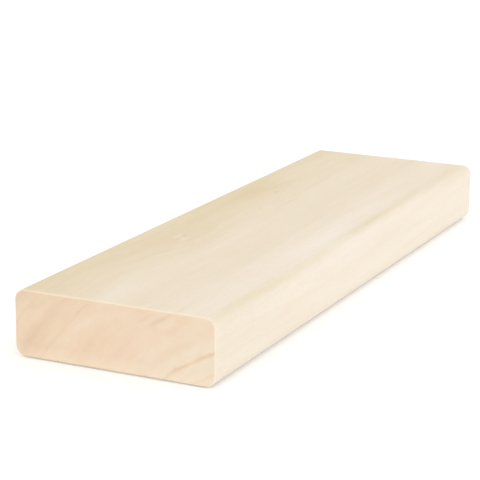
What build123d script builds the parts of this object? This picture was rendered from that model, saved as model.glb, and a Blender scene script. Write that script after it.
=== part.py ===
from build123d import *
import os

# A short planed board, cut from one piece of pale hardwood.
# Sizes are in millimetres. +X runs along the board, +Y across it and +Z up.
# The origin is the middle of the underside, which is the face the board lies on.

# Overall sizes of the finished board
LENGTH = 305.0
WIDTH = 90.0
THICKNESS = 28.0

# Round that the planer's side heads leave along all four long edges
LONG_EDGE_RADIUS = 4.5

# Light sanding round the outline of each sawn end, which takes off the splinters
END_EASING = 0.8


def planed_section(cut_plane):
    """The section across the grain: four planed faces that run into rounded corners."""
    with BuildSketch(cut_plane) as section:
        with Locations((0, THICKNESS / 2)):
            RectangleRounded(WIDTH, THICKNESS, LONG_EDGE_RADIUS)
    return section.sketch


def ease_sawn_ends(board):
    """Round the whole outline of both square-sawn ends, corners included."""
    faces_along_board = board.faces().sort_by(Axis.X)
    near_end = faces_along_board[0]
    far_end = faces_along_board[-1]
    return fillet(near_end.edges() + far_end.edges(), END_EASING)


def make_plank():
    """One piece of stock: the section run from the near end to the far end, then eased."""
    near_end_cut = Plane.YZ.offset(-LENGTH / 2)
    with BuildPart() as plank:
        extrude(planed_section(near_end_cut), amount=LENGTH)
        ease_sawn_ends(plank)
    return plank.part


os.makedirs("parts", exist_ok=True)
export_step(make_plank(), "parts/plank.step")
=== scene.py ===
import math

import bpy
import numpy as np
from mathutils import Matrix, Vector, noise


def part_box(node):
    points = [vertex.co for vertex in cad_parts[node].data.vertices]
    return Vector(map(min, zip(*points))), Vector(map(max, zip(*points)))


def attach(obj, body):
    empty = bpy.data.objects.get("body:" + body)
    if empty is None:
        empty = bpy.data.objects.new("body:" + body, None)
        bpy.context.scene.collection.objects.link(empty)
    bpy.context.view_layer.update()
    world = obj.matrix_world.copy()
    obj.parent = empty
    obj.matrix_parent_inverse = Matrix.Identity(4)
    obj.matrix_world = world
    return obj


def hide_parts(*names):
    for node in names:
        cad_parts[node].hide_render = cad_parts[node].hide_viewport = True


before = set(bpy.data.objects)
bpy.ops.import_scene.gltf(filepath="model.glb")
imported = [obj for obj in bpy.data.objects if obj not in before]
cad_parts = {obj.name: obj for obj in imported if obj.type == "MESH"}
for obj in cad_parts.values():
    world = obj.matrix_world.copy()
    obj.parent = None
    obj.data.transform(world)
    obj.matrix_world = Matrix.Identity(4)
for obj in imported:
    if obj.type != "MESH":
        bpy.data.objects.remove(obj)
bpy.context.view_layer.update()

# A short planed board of pale hardwood, lying on a white studio floor.
# Names that end in _MM are millimetres, and MM turns them into Blender's metres.
# The board runs along X, its width is along Y and it lies on its underside at Z = 0.

MM = 0.001

low, high = (np.array(corner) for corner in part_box("plank"))
LENGTH_MM, WIDTH_MM, THICKNESS_MM = (high - low) / MM

# Roundings of the board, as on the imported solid
LONG_EDGE_RADIUS_MM = 4.5
END_EASING_MM = 0.8

# Hand sanding left the easing a little uneven: its mean share of the full size, how far it strays
# from that share, how sharply it does so, the size of its patches and where their noise starts
EASING_MEAN_SHARE = 0.84
EASING_STRAY = 0.16
EASING_CONTRAST = 1.6
EASING_PATCH_MM = 9.0
EASING_NOISE_START = 7.3

# Mesh cells: along the flats of the section, round half a corner, along the board, round the easing
CELLS_ACROSS = 150
CELLS_UP = 34
CELLS_PER_HALF_CORNER = 7
CELLS_ALONG = 170
CELLS_ROUND_EASING = 5

# The heart of the log lay to the right of the board and below it
PITH_Y_MM = -102.0
PITH_Z_MM = -98.0

# Slow drift of the rings along the board. Each row gives a place along it, and how far the inner
# and the outer rings have moved there.
RING_DRIFT = (
    (-152.0, 0.0, 0.0),
    (-113.0, 0.0, -3.0),
    (-88.0, 0.0, 0.0),
    (-63.0, 0.0, 3.6),
    (-38.0, -0.2, 2.6),
    (-13.0, -0.8, 0.0),
    (25.0, -1.8, 0.2),
    (62.0, -2.8, 0.6),
    (150.0, -4.0, 0.5),
)
INNER_RING_MM = 140.0
OUTER_RING_MM = 170.0

# Waves of smooth noise in the wood. Each row gives a height, a length along the board, a width
# across it and where its noise starts. The rings' heights are in millimetres.
RING_WAVES = (
    (0.70, 120.0, 17.0, 3.1),
    (0.35, 50.0, 5.0, 9.7),
)
BROWN_WAVES = (
    (0.9, 45.0, 9.0, 21.3),
    (0.5, 15.0, 4.0, 4.4),
)

# Darkness of the wood by distance from the heart: 0 is the palest wood, 1 the dark outer band
LONG_FACE_TONES = (
    (134.0, 0.00),
    (138.0, 0.12),
    (144.5, 0.22),
    (148.5, 0.33),
    (152.0, 0.45),
    (157.5, 0.50),
    (163.0, 0.45),
    (165.5, 0.43),
    (168.0, 0.49),
    (170.5, 0.60),
    (173.0, 0.66),
    (176.0, 0.76),
    (178.5, 0.85),
    (183.0, 0.90),
    (187.0, 0.95),
    (200.0, 1.00),
)
SAWN_END_TONES = (
    (112.0, 0.05),
    (121.0, 0.00),
    (130.5, 0.00),
    (133.0, 0.25),
    (136.0, 0.15),
    (138.5, 0.18),
    (141.0, 0.24),
    (144.5, 0.32),
    (148.0, 0.32),
    (152.0, 0.38),
    (157.5, 0.43),
    (161.0, 0.36),
    (164.0, 0.30),
    (166.7, 0.34),
    (167.6, 0.56),
    (170.0, 0.53),
    (172.5, 0.66),
    (175.6, 0.92),
    (177.2, 0.80),
    (178.6, 0.58),
    (182.0, 0.64),
    (186.0, 0.66),
    (190.0, 0.78),
)

# Thin dark lines where a season's growth stopped. Each row gives the distance from the heart,
# half the width of the line, and its darkness on a sawn end and on a long face.
GROWTH_LINES = (
    (113.2, 0.6, 0.20, 0.03),
    (118.7, 0.9, 0.30, 0.03),
    (126.3, 1.25, 0.86, 0.05),
    (137.9, 2.0, 0.00, 0.15),
    (146.3, 0.8, 0.06, 0.05),
    (152.0, 0.7, 0.10, 0.04),
    (167.4, 0.7, 0.17, 0.06),
    (175.6, 1.0, 0.05, 0.06),
    (184.0, 0.8, 0.20, 0.08),
    (189.5, 0.8, 0.20, 0.08),
)

# How far the lines wander in and out
LINE_WANDER_MM = 1.6

# Places that are darker or paler than their ring. On the near end each row gives y and z, half the
# size along the ring and across it, the change of tone and the change towards brown.
END_PATCHES = (
    (-21.0, 24.0, 6.0, 0.9, 0.60, -0.3),
    (-15.0, 24.3, 4.0, 0.8, 0.28, 0.5),
    (-26.0, 20.0, 4.0, 1.2, 0.25, 0.0),
    (-8.0, 12.5, 5.0, 2.0, 0.25, 1.0),
    (9.0, 9.0, 7.0, 4.0, 0.18, 0.4),
    (11.0, 19.0, 5.0, 3.5, -0.15, -1.0),
    (40.0, 15.0, 5.0, 2.5, -0.12, -1.2),
    (-29.0, 14.0, 8.0, 1.8, 0.24, -0.5),
    (37.0, 3.5, 5.0, 3.0, 0.28, 0.8),
    (22.0, 26.0, 4.0, 3.0, -0.15, 1.2),
    (-39.0, 22.0, 5.0, 3.0, 0.18, 1.2),
    (-32.0, 25.0, 5.0, 2.0, 0.22, 0.5),
    (8.0, 25.0, 4.0, 2.0, 0.22, 0.5),
    (14.0, 21.0, 5.0, 2.0, 0.20, -0.5),
    (17.0, 10.0, 5.0, 3.5, 0.08, 0.8),
    (-18.0, 16.0, 6.0, 2.5, 0.08, 1.2),
    (0.0, 12.0, 5.0, 2.0, 0.18, 0.6),
    (35.0, 22.0, 5.0, 2.0, 0.15, -1.2),
)

# Inside the wood these patches fade out over this length, up to this place along the board
END_PATCHES_FADE_MM = 40.0
END_PATCHES_LAST_X_MM = -100.0

# The same on the long faces: x, y and z, half the length and the width, tone and brown
LONG_PATCHES = (
    (-25.0, -34.5, 28.0, 65.0, 8.5, -0.24, 0.0),
    (115.0, 30.0, 28.0, 45.0, 12.0, -0.30, 0.0),
    (-137.0, 5.0, 28.0, 25.0, 6.0, -0.15, -0.5),
    (-75.0, 31.0, 28.0, 35.0, 8.0, 0.0, 1.0),
    (-105.0, 17.0, 28.0, 15.0, 4.0, 0.0, -1.0),
    (15.0, 37.0, 28.0, 20.0, 4.0, 0.0, -1.0),
    (105.0, -38.0, 28.0, 60.0, 8.0, 0.25, 0.2),
    (8.0, -40.5, 28.0, 38.0, 3.0, 0.50, -2.2),
    # These four rows lie along the right-hand arris: partly an olive streak in the wood, partly painted
    # shade that dims the arris's highlight
    (-112.0, -42.5, 27.5, 38.0, 2.2, 0.25, -1.6),
    (-60.0, -42.5, 27.5, 25.0, 2.2, 0.15, -1.0),
    (-115.0, -44.5, 25.0, 50.0, 3.0, 0.15, -1.0),
    (125.0, -42.5, 28.0, 55.0, 2.2, 0.20, -0.5),
    (-130.0, -45.0, 12.0, 60.0, 14.0, 0.12, -1.2),
    (20.0, -45.0, 12.0, 90.0, 14.0, 0.0, -0.8),
    (-49.5, 25.0, 28.0, 3.2, 0.9, -0.48, 0.4),
    (-52.5, 20.0, 28.0, 3.2, 1.1, -0.42, 0.4),
    (-62.5, 17.2, 28.0, 6.0, 1.6, -0.25, 0.0),
    (42.0, 32.0, 28.0, 26.0, 6.0, 0.24, 0.0),
    (-38.0, 39.0, 28.0, 34.0, 5.5, -0.18, 0.0),
)

# Short dark flecks among the fibres of the top face: x and y, half the length and width
TOP_FLECKS = (
    (-53.7, 22.7, 2.2, 0.45),
    (-46.8, 22.8, 2.4, 0.50),
    (-59.3, 12.7, 3.0, 0.40),
    (49.8, 21.3, 3.2, 0.60),
    (14.7, 13.8, 1.8, 0.45),
)
FLECK_STRENGTH = 0.30

# Relief of the mesh, as depths in millimetres below the planed size
LONG_EARLY_GROWTH_MM = 0.020
LONG_SWELL_MM = 0.040
LONG_FIBRE_MM = 0.012
END_EARLY_GROWTH_MM = 0.030
END_SAW_MARK_MM = 0.025
END_FIBRE_MM = 0.020

# The saw's teeth left arcs on the ends: their spacing, how far they sway (2 pi is one spacing),
# the share of their depth that is left where they are faintest, and the middle of the arcs
SAW_MARK_SPACING_MM = 2.1
SAW_MARK_SWAY = 2.0
SAW_MARK_LEAST_SHARE = 0.4
SAW_MIDDLE_Y_MM = -20.0
SAW_MIDDLE_Z_MM = 150.0

# Noise of the relief: length along the board, width across it and where it starts
SWELL_NOISE = (80.0, 40.0, 5.5)
FIBRE_NOISE = (14.0, 1.3, 12.5)
SAW_MARK_NOISE = (50.0, 25.0, 8.8)

# Layers of noise in the material. Each has its changes a millimetre along the grain, round the
# heart and out from it, then the detail and roughness of its noise.
LAYERS = {
    "bands": ((0.015, 0.22, 0.22), 3, 0.55),
    "streaks": ((0.03, 0.9, 0.9), 3, 0.6),
    "fibres": ((0.08, 5.0, 5.0), 2, 0.6),
    "mottle": ((0.1, 0.12, 0.30), 3, 0.55),
    "wandering lines": ((0.05, 0.45, 0.45), 3, 0.6),
    "faint lines": ((0.02, 0.10, 0.02), 1, 0.5),
    "rays": ((0.9, 3.2, 0.10), 1, 0.5),
    "vessels": ((0.35, 8.0, 8.0), 0, 0.5),
}

# How strongly each layer shows in the tone of a long face and of a sawn end
LONG_FACE_LAYERS = {"bands": 0.55, "streaks": 0.30, "fibres": 0.30}
SAWN_END_LAYERS = {"mottle": 0.80, "streaks": 0.30, "fibres": 0.40}

# Where the noise of a layer starts to show and where it stops growing, and its strength at both
FAINT_LINES_RAMP = (0.25, 0.60, 0.35, 1.15)
RAY_RAMP = (0.60, 0.75, 0.0, 0.10)
VESSEL_RAMP = (0.66, 0.78, 0.0, 0.22)

# The same for a fleck, by the distance from its middle in half sizes
FLECK_RAMP = (1.2, 0.3, 0.0, 1.0)

# Colours of the wood, as red, green and blue on a display
LONG_PALE = (235.5, 223, 206.5)
LONG_DARK = (220, 202, 168)
END_PALE = (229, 211.5, 188.5)
END_MIDDLE = (227, 202.5, 175.5)
END_DARK = (218.5, 193, 166)
# Pale of sanding wear, also used for a painted highlight on the easing and painted light at the foot of
# the ends
WORN_AND_HIGHLIGHT_PALE = (245, 229, 204)
RAY_PALE = (244, 230, 208)
PORE_DARK = (190, 168, 136)

# Factors that lean a colour towards olive or brown, and what makes it lean
TOWARDS_OLIVE = (0.984, 1.012, 1.0, 1.0)
TOWARDS_BROWN = (1.016, 0.988, 1.0, 1.0)
LEAN_OF_BROWN = 0.25
LEAN_OF_LINES = -0.5

# The lean of a normal along the board is 0 on a long face and 1 on an end. The colour turns to end
# grain between the first two leans. Of the other four, the easing is paled between the outer two, and
# fully paled between the inner two: partly sanding wear, partly a painted highlight.
END_GRAIN_LEANS = (0.70, 0.98)
EASING_LEANS = (0.0, 0.30, 0.92, 1.0)

# How pale the easing is at the foot and at the top of the board, for sanding wear and a painted highlight
# that is stronger at the top, and how pale it gets. Then how pale painted light makes the foot of each
# end, and how high up it reaches.
EASING_WEAR_AND_HIGHLIGHT_AT_FOOT = 0.35
EASING_WEAR_AND_HIGHLIGHT_AT_TOP = 0.85
EASING_WEAR_AND_HIGHLIGHT_PALENESS = 0.6
FOOT_PAINTED_LIGHT_PALENESS = 0.38
FOOT_PAINTED_LIGHT_HEIGHT_MM = 6.0

# Relief too fine for the mesh, in millimetres, and the spacing of the planer's knife marks
KNIFE_MARK_SPACING_MM = 1.7
KNIFE_MARK_MM = 0.0015
FIBRE_RIDGE_MM = 0.03
PORE_DEPTH_MM = 0.06

# Roughness of the smoothest wood, and what loose fibres and a sawn end add to it
SMOOTH_ROUGHNESS = 0.47
FIBRE_ROUGHNESS = 0.16
SAWN_ROUGHNESS = 0.15
WOOD_SPECULAR_LEVEL = 0.35

# Camera, fitted to the outline of the board in the photograph
PHOTO_SIDE_PX = 480
FOCAL_LENGTH_PX = 1775
ORIGIN_IN_PHOTO_PX = (273.6, 276.5)
CAMERA_DOWNWARD_DEG = 14.87
CAMERA_HEADING_DEG = 25.40
CAMERA_ROLL_DEG = 0.62
CAMERA_DISTANCE_M = 0.832
SENSOR_WIDTH_MM = 36.0
NEAREST_SEEN_M = 0.01

# Light of the studio: a sky that is a little brighter on one side, and a soft key near the camera
WHITE = (1.0, 1.0, 1.0, 1.0)
SKY_STRENGTH = 1.0
SKY_LEAN = 0.14
SKY_TOWARDS = (-0.25, -0.75, 0.60)
KEY_STRENGTH = 0.30
KEY_ANGLE_DEG = 90
KEY_FROM = (-0.85, -0.35, 0.40)

# The floor lies a little below the board, so that a thin dark line shows along the board's foot
FLOOR_GAP_MM = 0.62
FLOOR_SIDE_M = 30.0
FLOOR_SHADE = 0.88
FLOOR_GLOW = 0.16
FLOOR_ROUGHNESS = 0.9


# Shape of the board

def lattice_axis(side_mm, flat_cells):
    """Lattice lines across one side of the section: each one's place on the flat and share of a corner."""
    half_flat = side_mm / 2 - LONG_EDGE_RADIUS_MM
    corner = np.arange(1, CELLS_PER_HALF_CORNER + 1) / CELLS_PER_HALF_CORNER
    flat = np.linspace(-half_flat, half_flat, flat_cells + 1)
    place = np.concatenate([np.full(len(corner), -half_flat), flat, np.full(len(corner), half_flat)])
    share = np.concatenate([-corner[::-1], np.zeros(len(flat)), corner])
    return place, share


def round_corner(across, up):
    """Turns a square corner patch into a quarter disc, so that the lattice follows the round."""
    reach = np.maximum(np.abs(across), np.abs(up))
    safe = np.where(reach > 0, reach, 1.0)
    lesser = np.minimum(np.abs(across), np.abs(up))
    angle = math.pi / 4 * lesser / safe
    long_part = reach * np.cos(angle)
    short_part = reach * np.sin(angle)
    flatter = np.abs(across) >= np.abs(up)
    y = np.sign(across) * np.where(flatter, long_part, short_part)
    z = np.sign(up) * np.where(flatter, short_part, long_part)
    return y, z


class Section:
    """The board's rounded section as a lattice of cells, with its outline as one loop."""

    def __init__(self):
        across_place, across_share = lattice_axis(WIDTH_MM, CELLS_ACROSS)
        up_place, up_share = lattice_axis(THICKNESS_MM, CELLS_UP)
        self.columns = len(across_place)
        self.rows = len(up_place)
        flat_y, flat_z = np.meshgrid(across_place, up_place, indexing="ij")
        share_y, share_z = np.meshgrid(across_share, up_share, indexing="ij")
        round_y, round_z = round_corner(share_y, share_z)
        self.flat_y = flat_y.ravel()
        self.flat_z = flat_z.ravel()
        self.round_y = round_y.ravel()
        self.round_z = round_z.ravel()
        self.outline = self.outline_loop()

    def index(self, column, row):
        return column * self.rows + row

    def outline_loop(self):
        """Lattice points on the outline, from the middle of the underside, anticlockwise seen from +X."""
        last_column = self.columns - 1
        last_row = self.rows - 1
        loop = [self.index(column, 0) for column in range(last_column)]
        loop += [self.index(last_column, row) for row in range(last_row)]
        loop += [self.index(column, last_row) for column in range(last_column, 0, -1)]
        loop += [self.index(0, row) for row in range(last_row, 0, -1)]
        start = self.columns // 2
        return np.array(loop[start:] + loop[:start])

    def points(self, members, inset):
        """Y and Z in millimetres of lattice points, with the outline drawn in by inset."""
        radius = LONG_EDGE_RADIUS_MM - inset
        y = self.flat_y[members] + radius * self.round_y[members]
        z = self.flat_z[members] + radius * self.round_z[members] + THICKNESS_MM / 2
        return y, z

    def cells(self, end):
        """The lattice's quads, wound so that they face out of the given end."""
        columns, rows = np.meshgrid(np.arange(self.columns - 1), np.arange(self.rows - 1), indexing="ij")
        corner = self.index(columns, rows).ravel()
        ring = [corner, corner + 1, corner + self.rows + 1, corner + self.rows]
        if end > 0:
            ring = ring[::-1]
        return np.stack(ring, 1)


def uneven_easing(y, z, end):
    """Size of the easing at each point round one sawn end."""
    start = EASING_NOISE_START * end
    values = [noise.noise(Vector((a / EASING_PATCH_MM, b / EASING_PATCH_MM, start))) for a, b in zip(y, z)]
    stray = np.clip(EASING_CONTRAST * np.array(values), -1, 1)
    return END_EASING_MM * (EASING_MEAN_SHARE + EASING_STRAY * stray)


def easing_loops(section, end):
    """Loops of points round the easing of one end, from the rim of its flat to the full section."""
    outline_y, outline_z = section.points(section.outline, 0.0)
    easing = uneven_easing(outline_y, outline_z, end)
    loops = []
    for turn in np.linspace(0, math.pi / 2, CELLS_ROUND_EASING + 1):
        y, z = section.points(section.outline, easing * (1 - math.sin(turn)))
        x = end * (LENGTH_MM / 2 - easing * (1 - math.cos(turn)))
        loops.append(np.stack([x, y, z], 1))
    return loops


def board_loops(section):
    """Loops of points round the board, from the rim of the near end to the rim of the far end."""
    near_loops = easing_loops(section, -1)
    far_loops = easing_loops(section, 1)
    near_x = near_loops[-1][:, :1]
    far_x = far_loops[-1][:, :1]
    between = []
    for share in np.linspace(0, 1, CELLS_ALONG + 1)[1:-1]:
        loop = near_loops[-1].copy()
        loop[:, :1] = near_x + share * (far_x - near_x)
        between.append(loop)
    return near_loops + between + far_loops[::-1]


def end_lattice(section, end, rim):
    """Points of one sawn end, with the given loop as its outline."""
    everything = np.arange(section.columns * section.rows)
    y, z = section.points(everything, END_EASING_MM)
    lattice = np.stack([np.full(len(y), end * LENGTH_MM / 2), y, z], 1)
    lattice[section.outline] = rim
    return lattice


class MapLayout:
    """A flat layout of the surface, in millimetres, for textures.

    The long faces are unrolled into one strip. Both ends are below it and drawn at a larger scale,
    because their pattern is finer.
    """

    MARGIN_MM = 1.5
    END_ZOOM = 1.65

    def __init__(self, section):
        y, z = section.points(section.outline, 0.0)
        steps = np.hypot(np.diff(y, append=y[0]), np.diff(z, append=z[0]))
        self.around = np.concatenate([[0.0], np.cumsum(steps)])
        self.over_easing = math.pi / 2 * END_EASING_MM
        self.strip_length = LENGTH_MM + 2 * (self.over_easing - END_EASING_MM)
        self.strip_foot = THICKNESS_MM * self.END_ZOOM + 2 * self.MARGIN_MM
        self.wide = self.strip_length + 2 * self.MARGIN_MM
        self.tall = self.strip_foot + self.around[-1] + self.MARGIN_MM

    def fitted(self, u_mm, v_mm):
        return np.stack([u_mm / self.wide, v_mm / self.tall], -1)

    def along(self, loops, index):
        """Distance of a loop's points from the rim of the near end, measured over the easing."""
        loop = loops[index]
        step = self.over_easing / CELLS_ROUND_EASING
        still_to_come = len(loops) - 1 - index
        if index <= CELLS_ROUND_EASING:
            return np.full(len(loop), index * step)
        if still_to_come <= CELLS_ROUND_EASING:
            return np.full(len(loop), self.strip_length - still_to_come * step)
        flat = LENGTH_MM - 2 * END_EASING_MM
        return self.over_easing + np.clip(loop[:, 0] + flat / 2, 0, flat)

    def strip(self, loops, index):
        """Places on the map of the cells between one loop and the next."""
        u_first = self.MARGIN_MM + self.along(loops, index)
        u_second = self.MARGIN_MM + self.along(loops, index + 1)
        v_here = self.strip_foot + self.around[:-1]
        v_next = self.strip_foot + self.around[1:]
        corners = [
            (u_first, v_here),
            (np.roll(u_first, -1), v_next),
            (np.roll(u_second, -1), v_next),
            (u_second, v_here),
        ]
        return np.stack([self.fitted(u, v) for u, v in corners], 1)

    def end_face(self, corners, end):
        """Places on the map of the cells of one sawn end."""
        left = self.MARGIN_MM if end < 0 else self.wide / 2 + self.MARGIN_MM
        u_mm = left + self.END_ZOOM * (corners[..., 1] * end + WIDTH_MM / 2)
        v_mm = self.MARGIN_MM + self.END_ZOOM * corners[..., 2]
        return self.fitted(u_mm, v_mm)


def board_mesh():
    """Points and quads of the board, and each quad corner's place on the map."""
    section = Section()
    layout = MapLayout(section)
    loops = board_loops(section)
    near_end = end_lattice(section, -1, loops[0])
    far_end = end_lattice(section, 1, loops[-1])
    points = np.concatenate([near_end, far_end] + loops[1:-1])

    # The first and the last loop are the outlines of the ends, and the others have their own points
    outline = section.outline
    members = [outline]
    for first in range(len(near_end) + len(far_end), len(points), len(outline)):
        members.append(first + np.arange(len(outline)))
    members.append(len(near_end) + outline)

    quads = []
    places = []
    for index, (here, following) in enumerate(zip(members[:-1], members[1:])):
        quads.append(np.stack([here, np.roll(here, -1), np.roll(following, -1), following], 1))
        places.append(layout.strip(loops, index))
    for end, first in ((-1, 0), (1, len(near_end))):
        cells = first + section.cells(end)
        quads.append(cells)
        places.append(layout.end_face(points[cells], end))
    return points, np.concatenate(quads), np.concatenate(places)


# Growth of the wood

def wander(x, y, z, long_mm, wide_mm, start):
    """Smooth noise from -1 to 1, long along the board and short across it, for each point."""
    values = [
        noise.noise(Vector((a / long_mm + start, b / wide_mm, c / wide_mm)))
        for a, b, c in zip(x, y, z)
    ]
    return np.array(values)


def waves(x, y, z, rows):
    """Sum of some waves of noise."""
    total = np.zeros(len(x))
    for height, long_mm, wide_mm, start in rows:
        total += height * wander(x, y, z, long_mm, wide_mm, start)
    return total


def eased_lookup(place, rows, column):
    """Value from a table of rows, passing from one row to the next without a kink."""
    places = np.array([row[0] for row in rows])
    values = np.array([row[column] for row in rows])
    inside = np.clip(place, places[0], places[-1])
    row = np.clip(np.searchsorted(places, inside, side="right") - 1, 0, len(places) - 2)
    share = (inside - places[row]) / (places[row + 1] - places[row])
    eased = share * share * (3 - 2 * share)
    return values[row] + eased * (values[row + 1] - values[row])


def growth_of(x, y, z):
    """Place of each point in the tree: along the grain, round the heart and out from it."""
    radius = np.hypot(y - PITH_Y_MM, z - PITH_Z_MM)
    outer_share = np.clip((radius - INNER_RING_MM) / (OUTER_RING_MM - INNER_RING_MM), 0, 1)
    inner_drift = eased_lookup(x, RING_DRIFT, 1)
    outer_drift = eased_lookup(x, RING_DRIFT, 2)
    radius = radius + inner_drift + outer_share * (outer_drift - inner_drift)
    radius += waves(x, y, z, RING_WAVES)
    usual_radius = math.hypot(PITH_Y_MM, PITH_Z_MM)
    around = usual_radius * np.arctan2(y - PITH_Y_MM, z - PITH_Z_MM)
    return x, around, radius


def growth_at(x, y, z):
    """The same for a single point."""
    place = growth_of(*(np.array([value]) for value in (x, y, z)))
    return [float(values[0]) for values in place]


def near_end_share(patch, x, around, radius):
    """How much of a patch of the near end each point has, from 0 to 1."""
    patch_y, patch_z, half_arc, half_depth = patch
    _, patch_around, patch_radius = growth_at(-LENGTH_MM / 2, patch_y, patch_z)
    distance = ((around - patch_around) / half_arc) ** 2 + ((radius - patch_radius) / half_depth) ** 2
    fade = np.clip((END_PATCHES_LAST_X_MM - x) / END_PATCHES_FADE_MM, 0, 1)
    return fade * np.exp(-distance)


def long_face_share(patch, x, y, z):
    """How much of a patch of the long faces each point has, from 0 to 1."""
    patch_x, patch_y, patch_z, half_length, half_width = patch
    aside = ((y - patch_y) ** 2 + (z - patch_z) ** 2) / half_width ** 2
    return np.exp(-((x - patch_x) / half_length) ** 2 - aside)


def tones_of(x, y, z, around, radius):
    """Darkness of the wood on a long face and on a sawn end, and its lean towards brown."""
    long_face = eased_lookup(radius, LONG_FACE_TONES, 1)
    sawn_end = eased_lookup(radius, SAWN_END_TONES, 1)
    brown = waves(x, y, z, BROWN_WAVES)
    for *patch, tone, lean in END_PATCHES:
        share = near_end_share(patch, x, around, radius)
        sawn_end += tone * share
        brown += lean * share
    for *patch, tone, lean in LONG_PATCHES:
        share = long_face_share(patch, x, y, z)
        long_face += tone * share
        brown += lean * share
    return long_face, sawn_end, brown


def wear_and_highlights_of(z, facing_out):
    """How pale the easing is at each point, for wear and a painted highlight, and how far painted light
    pales the foot of the ends.
    """
    rounded = np.interp(facing_out, EASING_LEANS, (0, 1, 1, 0))
    # Partly wear, partly a painted highlight: the easing is paler towards the top of the board
    wear_and_highlight_by_height = EASING_WEAR_AND_HIGHLIGHT_AT_FOOT + (EASING_WEAR_AND_HIGHLIGHT_AT_TOP - EASING_WEAR_AND_HIGHLIGHT_AT_FOOT) * z / THICKNESS_MM
    # Painted light: the foot of each end is paler, fading out a few millimetres up
    painted_foot_light = np.clip(1 - z / FOOT_PAINTED_LIGHT_HEIGHT_MM, 0, 1) * facing_out
    return rounded * wear_and_highlight_by_height, painted_foot_light


def relief_mm(x, y, z, facing_out, late_growth):
    """How far the surface lies inside the planed size: raised late growth, torn fibres and saw marks."""
    early_growth = 1 - late_growth
    swell = 0.5 + 0.5 * wander(x, y, z, *SWELL_NOISE)
    fibre = 0.5 + 0.5 * wander(x, y, z, *FIBRE_NOISE)
    long_face = LONG_EARLY_GROWTH_MM * early_growth + LONG_SWELL_MM * swell + LONG_FIBRE_MM * fibre

    tooth_radius = np.hypot(y - SAW_MIDDLE_Y_MM, z - SAW_MIDDLE_Z_MM)
    sway = SAW_MARK_SWAY * wander(x, y, z, *SAW_MARK_NOISE)
    phase = 2 * math.pi * tooth_radius / SAW_MARK_SPACING_MM + sway
    depth_share = SAW_MARK_LEAST_SHARE + (1 - SAW_MARK_LEAST_SHARE) * swell
    saw_mark = depth_share * (0.5 + 0.5 * np.sin(phase))
    sawn_end = END_SAW_MARK_MM * saw_mark + END_EARLY_GROWTH_MM * early_growth + END_FIBRE_MM * fibre

    on_end = np.clip(facing_out * 2 - 1, 0, 1)
    return np.maximum(long_face * (1 - on_end) + sawn_end * on_end, 0)


def add_attribute(mesh, name, values):
    kind = "FLOAT_VECTOR" if values.ndim == 2 else "FLOAT"
    attribute = mesh.attributes.new(name, kind, "POINT")
    field = "vector" if values.ndim == 2 else "value"
    attribute.data.foreach_set(field, values.astype(np.float32).ravel())


def make_board():
    points_mm, quads, places = board_mesh()
    mesh = bpy.data.meshes.new("board")
    mesh.from_pydata(points_mm * MM, [], quads)
    mesh.update()
    normals = np.empty(len(points_mm) * 3, np.float32)
    mesh.vertex_normals.foreach_get("vector", normals)
    normals = normals.reshape(-1, 3).astype(float)

    x, y, z = points_mm.T
    facing_out = np.abs(normals[:, 0])
    along, around, radius = growth_of(x, y, z)
    long_face_tone, sawn_end_tone, brown = tones_of(x, y, z, around, radius)
    # The easing is paled for wear and as a painted highlight, and the foot of the ends with painted light
    easing, painted_foot_light = wear_and_highlights_of(z, facing_out)
    attributes = {
        "growth_mm": np.stack([along, around, radius], 1),
        "long_face_tone": long_face_tone,
        "sawn_end_tone": sawn_end_tone,
        "brown": brown,
        "end_grain": np.interp(facing_out, END_GRAIN_LEANS, (0, 1)),
        # Paleness of the easing: sanding wear and a painted highlight
        "easing": easing,
        # Painted light on the foot of each end
        "painted_foot_light": painted_foot_light,
    }
    for name, values in attributes.items():
        add_attribute(mesh, name, values)

    depth = relief_mm(x, y, z, facing_out, np.clip(sawn_end_tone, 0, 1))
    carved = points_mm - normals * depth[:, None]
    mesh.vertices.foreach_set("co", (carved * MM).astype(np.float32).ravel())
    layer = mesh.uv_layers.new(name="OFBake")
    layer.data.foreach_set("uv", places.astype(np.float32).ravel())
    mesh.polygons.foreach_set("use_smooth", np.ones(len(quads), bool))
    mesh.update()
    board = bpy.data.objects.new("board", mesh)
    bpy.context.scene.collection.objects.link(board)
    return board


# Nodes and colours

def display_colour(red, green, blue):
    """Linear colour for a shader from the numbers a display would show."""
    def linear(value):
        share = value / 255
        return share / 12.92 if share <= 0.04045 else ((share + 0.055) / 1.055) ** 2.4
    return (linear(red), linear(green), linear(blue), 1.0)


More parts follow.
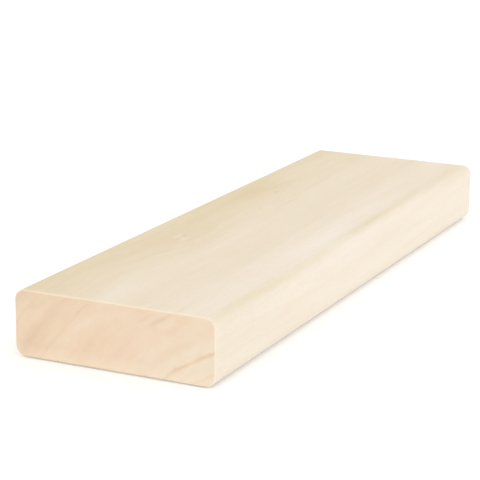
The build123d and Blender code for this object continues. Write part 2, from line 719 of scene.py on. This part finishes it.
class Nodes:
    """Fills one node tree with plain calls. All but node() give the new node's output."""

    def __init__(self, tree):
        self.tree = tree
        self.tree.nodes.clear()

    def node(self, kind, inputs, **settings):
        made = self.tree.nodes.new(kind)
        for name, value in settings.items():
            setattr(made, name, value)
        for socket, value in inputs.items():
            if isinstance(value, bpy.types.NodeSocket):
                self.tree.links.new(value, made.inputs[socket])
            else:
                made.inputs[socket].default_value = value
        return made

    def attribute(self, name, output):
        return self.node("ShaderNodeAttribute", {}, attribute_name=name).outputs[output]

    def math(self, operation, first, second=0.0, third=0.0, clamp=False):
        inputs = {0: first, 1: second, 2: third}
        return self.node("ShaderNodeMath", inputs, operation=operation, use_clamp=clamp).outputs[0]

    def vector_math(self, operation, first, second=(0.0, 0.0, 0.0), output="Vector"):
        made = self.node("ShaderNodeVectorMath", {0: first, 1: second}, operation=operation)
        return made.outputs[output]

    def noise(self, vector, detail, roughness):
        inputs = {"Vector": vector, "Scale": 1.0, "Detail": detail, "Roughness": roughness}
        return self.node("ShaderNodeTexNoise", inputs).outputs["Fac"]

    def ramp(self, value, start, stop, first=0.0, last=1.0):
        """Passes smoothly from the first result to the last one as the value goes from start to stop."""
        inputs = {"Value": value, "From Min": start, "From Max": stop, "To Min": first, "To Max": last}
        return self.node("ShaderNodeMapRange", inputs, interpolation_type="SMOOTHSTEP").outputs["Result"]

    def mix(self, share, first, second, **settings):
        inputs = {0: share, 6: first, 7: second}
        return self.node("ShaderNodeMix", inputs, data_type="RGBA", **settings).outputs[2]


def new_material(name):
    material = bpy.data.materials.new(name)
    material.use_nodes = True
    return material, Nodes(material.node_tree)


# Wood material

def wood_layer(wood, growth, name):
    """One layer of noise that follows the wood's growth."""
    scale, detail, roughness = LAYERS[name]
    return wood.noise(wood.vector_math("MULTIPLY", growth, scale), detail, roughness)


def with_layers(wood, tone, layers, strengths):
    """A tone made darker and paler by some layers of noise."""
    for name, strength in strengths.items():
        change = wood.math("MULTIPLY", wood.math("SUBTRACT", layers[name], 0.5), strength)
        tone = wood.math("ADD", tone, change)
    return tone


def growth_line_tones(wood, growth, end_share):
    """Darkness added by all the thin growth lines at a point, for the kind of surface there."""
    radius = wood.node("ShaderNodeSeparateXYZ", {0: growth}).outputs["Z"]
    wandering = wood_layer(wood, growth, "wandering lines")
    radius = wood.math("SUBTRACT", radius, LINE_WANDER_MM / 2)
    radius = wood.math("MULTIPLY_ADD", wandering, LINE_WANDER_MM, radius)
    total = 0.0
    for line_radius, half_width, end_tone, face_tone in GROWTH_LINES:
        offset = wood.math("ABSOLUTE", wood.math("SUBTRACT", radius, line_radius))
        inside = wood.ramp(offset, half_width, 0.0)
        strength = wood.math("MULTIPLY_ADD", end_share, end_tone - face_tone, face_tone)
        total = wood.math("MULTIPLY_ADD", inside, strength, total)
    presence = wood.ramp(wood_layer(wood, growth, "faint lines"), *FAINT_LINES_RAMP)
    return wood.math("MULTIPLY", total, presence)


def fleck_share(wood, growth):
    """1 in the middle of a fleck and 0 away from them all."""
    total = 0.0
    for fleck_x, fleck_y, half_length, half_width in TOP_FLECKS:
        centre = growth_at(fleck_x, fleck_y, THICKNESS_MM)
        offset = wood.vector_math("SUBTRACT", growth, centre)

        # A fleck is twice as deep as it is wide
        half_sizes = (half_length, half_width, 2 * half_width)
        scaled = wood.vector_math("MULTIPLY", offset, [1 / size for size in half_sizes])
        distance = wood.vector_math("LENGTH", scaled, output="Value")
        total = wood.math("ADD", total, wood.ramp(distance, *FLECK_RAMP))
    return total


def pore_share(wood, growth):
    """Share of open pores: vessels, as short fine dashes along the grain, and the larger flecks."""
    vessels = wood.ramp(wood_layer(wood, growth, "vessels"), *VESSEL_RAMP)
    return wood.math("MULTIPLY_ADD", fleck_share(wood, growth), FLECK_STRENGTH, vessels, clamp=True)


def grain_colour(wood, layers, lines, end_share):
    """Colour of clean wood, from its tone on a long face and on a sawn end."""
    face_tone = wood.math("ADD", wood.attribute("long_face_tone", "Fac"), lines)
    face_tone = with_layers(wood, face_tone, layers, LONG_FACE_LAYERS)
    end_tone = wood.math("ADD", wood.attribute("sawn_end_tone", "Fac"), lines)
    end_tone = with_layers(wood, end_tone, layers, SAWN_END_LAYERS)

    # A tone outside 0 to 1 goes on past the palest or the darkest colour
    pale, middle, dark = (display_colour(*colour) for colour in (END_PALE, END_MIDDLE, END_DARK))
    paler_half = wood.math("MULTIPLY", wood.math("MINIMUM", end_tone, 0.5), 2.0)
    darker_half = wood.math("MULTIPLY_ADD", wood.math("MAXIMUM", end_tone, 0.5), 2.0, -1.0)
    end_colour = wood.mix(paler_half, pale, middle, clamp_factor=False)
    end_colour = wood.mix(darker_half, end_colour, dark, clamp_factor=False)
    pale, dark = (display_colour(*colour) for colour in (LONG_PALE, LONG_DARK))
    face_colour = wood.mix(face_tone, pale, dark, clamp_factor=False)
    return wood.mix(end_share, face_colour, end_colour)


def worn_and_highlighted_colour(wood, colour):
    """Pales the easing round the ends, for sanding wear and a painted highlight, and pales the foot of
    each end with painted light.
    """
    for name, paleness in (("easing", EASING_WEAR_AND_HIGHLIGHT_PALENESS), ("painted_foot_light", FOOT_PAINTED_LIGHT_PALENESS)):
        share = wood.math("MULTIPLY", wood.attribute(name, "Fac"), paleness)
        colour = wood.mix(share, colour, display_colour(*WORN_AND_HIGHLIGHT_PALE))
    return colour


def leaning_colour(wood, colour, lines):
    """Leans the colour towards olive in the growth lines, and to brown or olive in the patches."""
    lean = wood.math("MULTIPLY_ADD", lines, LEAN_OF_LINES, 0.5)
    lean = wood.math("MULTIPLY_ADD", wood.attribute("brown", "Fac"), LEAN_OF_BROWN, lean, clamp=True)
    tint = wood.mix(lean, TOWARDS_OLIVE, TOWARDS_BROWN)
    return wood.mix(1.0, colour, tint, blend_type="MULTIPLY")


def fine_relief(wood, growth, fibres, pores):
    """Normal of the relief that is too fine for the mesh."""
    along = wood.node("ShaderNodeSeparateXYZ", {0: growth}).outputs["X"]
    knife_marks = wood.math("SINE", wood.math("MULTIPLY", along, 2 * math.pi / KNIFE_MARK_SPACING_MM))
    height = wood.math("MULTIPLY", knife_marks, KNIFE_MARK_MM)
    height = wood.math("MULTIPLY_ADD", fibres, FIBRE_RIDGE_MM, height)
    height = wood.math("MULTIPLY_ADD", pores, -PORE_DEPTH_MM, height)
    bump = wood.node("ShaderNodeBump", {"Height": height, "Distance": MM, "Strength": 1.0})
    return bump.outputs["Normal"]


def wood_material():
    material, wood = new_material("planed_wood")
    growth = wood.attribute("growth_mm", "Vector")
    end_share = wood.attribute("end_grain", "Fac")
    layers = {name: wood_layer(wood, growth, name) for name in ("bands", "streaks", "fibres", "mottle")}
    lines = growth_line_tones(wood, growth, end_share)
    pores = pore_share(wood, growth)

    # Rays cross the rings as fine pale threads, and show as short dashes on the long faces
    rays = wood.ramp(wood_layer(wood, growth, "rays"), *RAY_RAMP)
    colour = grain_colour(wood, layers, lines, end_share)
    # Sanding wear and a painted highlight on the easing, and painted light on the foot of the ends
    colour = worn_and_highlighted_colour(wood, colour)
    colour = leaning_colour(wood, colour, lines)
    colour = wood.mix(rays, colour, display_colour(*RAY_PALE))
    colour = wood.mix(pores, colour, display_colour(*PORE_DARK))

    roughness = wood.math("MULTIPLY_ADD", layers["fibres"], FIBRE_ROUGHNESS, SMOOTH_ROUGHNESS)
    roughness = wood.math("MULTIPLY_ADD", end_share, SAWN_ROUGHNESS, roughness)
    surface = wood.node("ShaderNodeBsdfPrincipled", {
        "Base Color": colour,
        "Roughness": roughness,
        "Normal": fine_relief(wood, growth, layers["fibres"], pores),
        "Specular IOR Level": WOOD_SPECULAR_LEVEL,
    })
    wood.node("ShaderNodeOutputMaterial", {"Surface": surface.outputs["BSDF"]})
    return material


# Studio

def camera_directions():
    """The camera's right, up and forward."""
    downward = math.radians(CAMERA_DOWNWARD_DEG)
    heading = math.radians(CAMERA_HEADING_DEG)
    roll = math.radians(CAMERA_ROLL_DEG)
    forward = Vector((
        math.cos(heading) * math.cos(downward),
        math.sin(heading) * math.cos(downward),
        -math.sin(downward),
    ))
    level = Vector((math.sin(heading), -math.cos(heading), 0.0))
    upright = level.cross(forward)
    right = math.cos(roll) * level + math.sin(roll) * upright
    up = math.cos(roll) * upright - math.sin(roll) * level
    return right, up, forward


def add_camera():
    """A camera that shows the board's origin at its place in the photograph."""
    right, up, forward = camera_directions()
    centre_px = PHOTO_SIDE_PX / 2
    aside = (ORIGIN_IN_PHOTO_PX[0] - centre_px) / FOCAL_LENGTH_PX * CAMERA_DISTANCE_M
    above = (centre_px - ORIGIN_IN_PHOTO_PX[1]) / FOCAL_LENGTH_PX * CAMERA_DISTANCE_M
    place = -(aside * right + above * up + CAMERA_DISTANCE_M * forward)
    lens = bpy.data.cameras.new("camera")
    lens.sensor_width = SENSOR_WIDTH_MM
    lens.lens = FOCAL_LENGTH_PX / PHOTO_SIDE_PX * SENSOR_WIDTH_MM
    lens.clip_start = NEAREST_SEEN_M
    camera = bpy.data.objects.new("camera", lens)
    turn = Matrix((right, up, -forward)).transposed().to_4x4()
    camera.matrix_world = Matrix.Translation(place) @ turn
    bpy.context.scene.collection.objects.link(camera)
    bpy.context.scene.camera = camera


def add_sky():
    """A white tent, a little brighter to the right of the board and above it than on the left."""
    world = bpy.data.worlds.new("studio")
    world.use_nodes = True
    sky = Nodes(world.node_tree)
    direction = sky.node("ShaderNodeTexCoord", {}).outputs["Generated"]
    lean = sky.vector_math("DOT_PRODUCT", direction, SKY_TOWARDS, output="Value")
    strength = sky.math("MULTIPLY_ADD", lean, SKY_LEAN, SKY_STRENGTH)
    background = sky.node("ShaderNodeBackground", {"Color": WHITE, "Strength": strength})
    sky.node("ShaderNodeOutputWorld", {"Surface": background.outputs["Background"]})
    bpy.context.scene.world = world


def add_key():
    """A broad soft lamp that shines from just above the camera."""
    key = bpy.data.lights.new("key", "SUN")
    key.energy = KEY_STRENGTH
    key.angle = math.radians(KEY_ANGLE_DEG)
    lamp = bpy.data.objects.new("key", key)
    lamp.rotation_euler = Vector(KEY_FROM).to_track_quat("Z", "Y").to_euler()
    bpy.context.scene.collection.objects.link(lamp)


def add_floor():
    """A white floor with a faint glow, which keeps its shade pale."""
    half = FLOOR_SIDE_M / 2
    level = -FLOOR_GAP_MM * MM
    corners = [(x, y, level) for x, y in ((-half, -half), (half, -half), (half, half), (-half, half))]
    mesh = bpy.data.meshes.new("floor")
    mesh.from_pydata(corners, [], [(0, 1, 2, 3)])
    material, paint = new_material("white_floor")
    surface = paint.node("ShaderNodeBsdfPrincipled", {
        "Base Color": (FLOOR_SHADE, FLOOR_SHADE, FLOOR_SHADE, 1.0),
        "Roughness": FLOOR_ROUGHNESS,
        "Specular IOR Level": 0.0,
        "Emission Color": WHITE,
        "Emission Strength": FLOOR_GLOW,
    })
    paint.node("ShaderNodeOutputMaterial", {"Surface": surface.outputs["BSDF"]})
    mesh.materials.append(material)
    floor = bpy.data.objects.new("floor", mesh)
    bpy.context.scene.collection.objects.link(floor)


add_camera()
add_sky()
add_key()
add_floor()
board = make_board()
board.data.materials.append(wood_material())
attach(board, "root")
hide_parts("plank")
bpy.context.scene.view_settings.view_transform = "Standard"
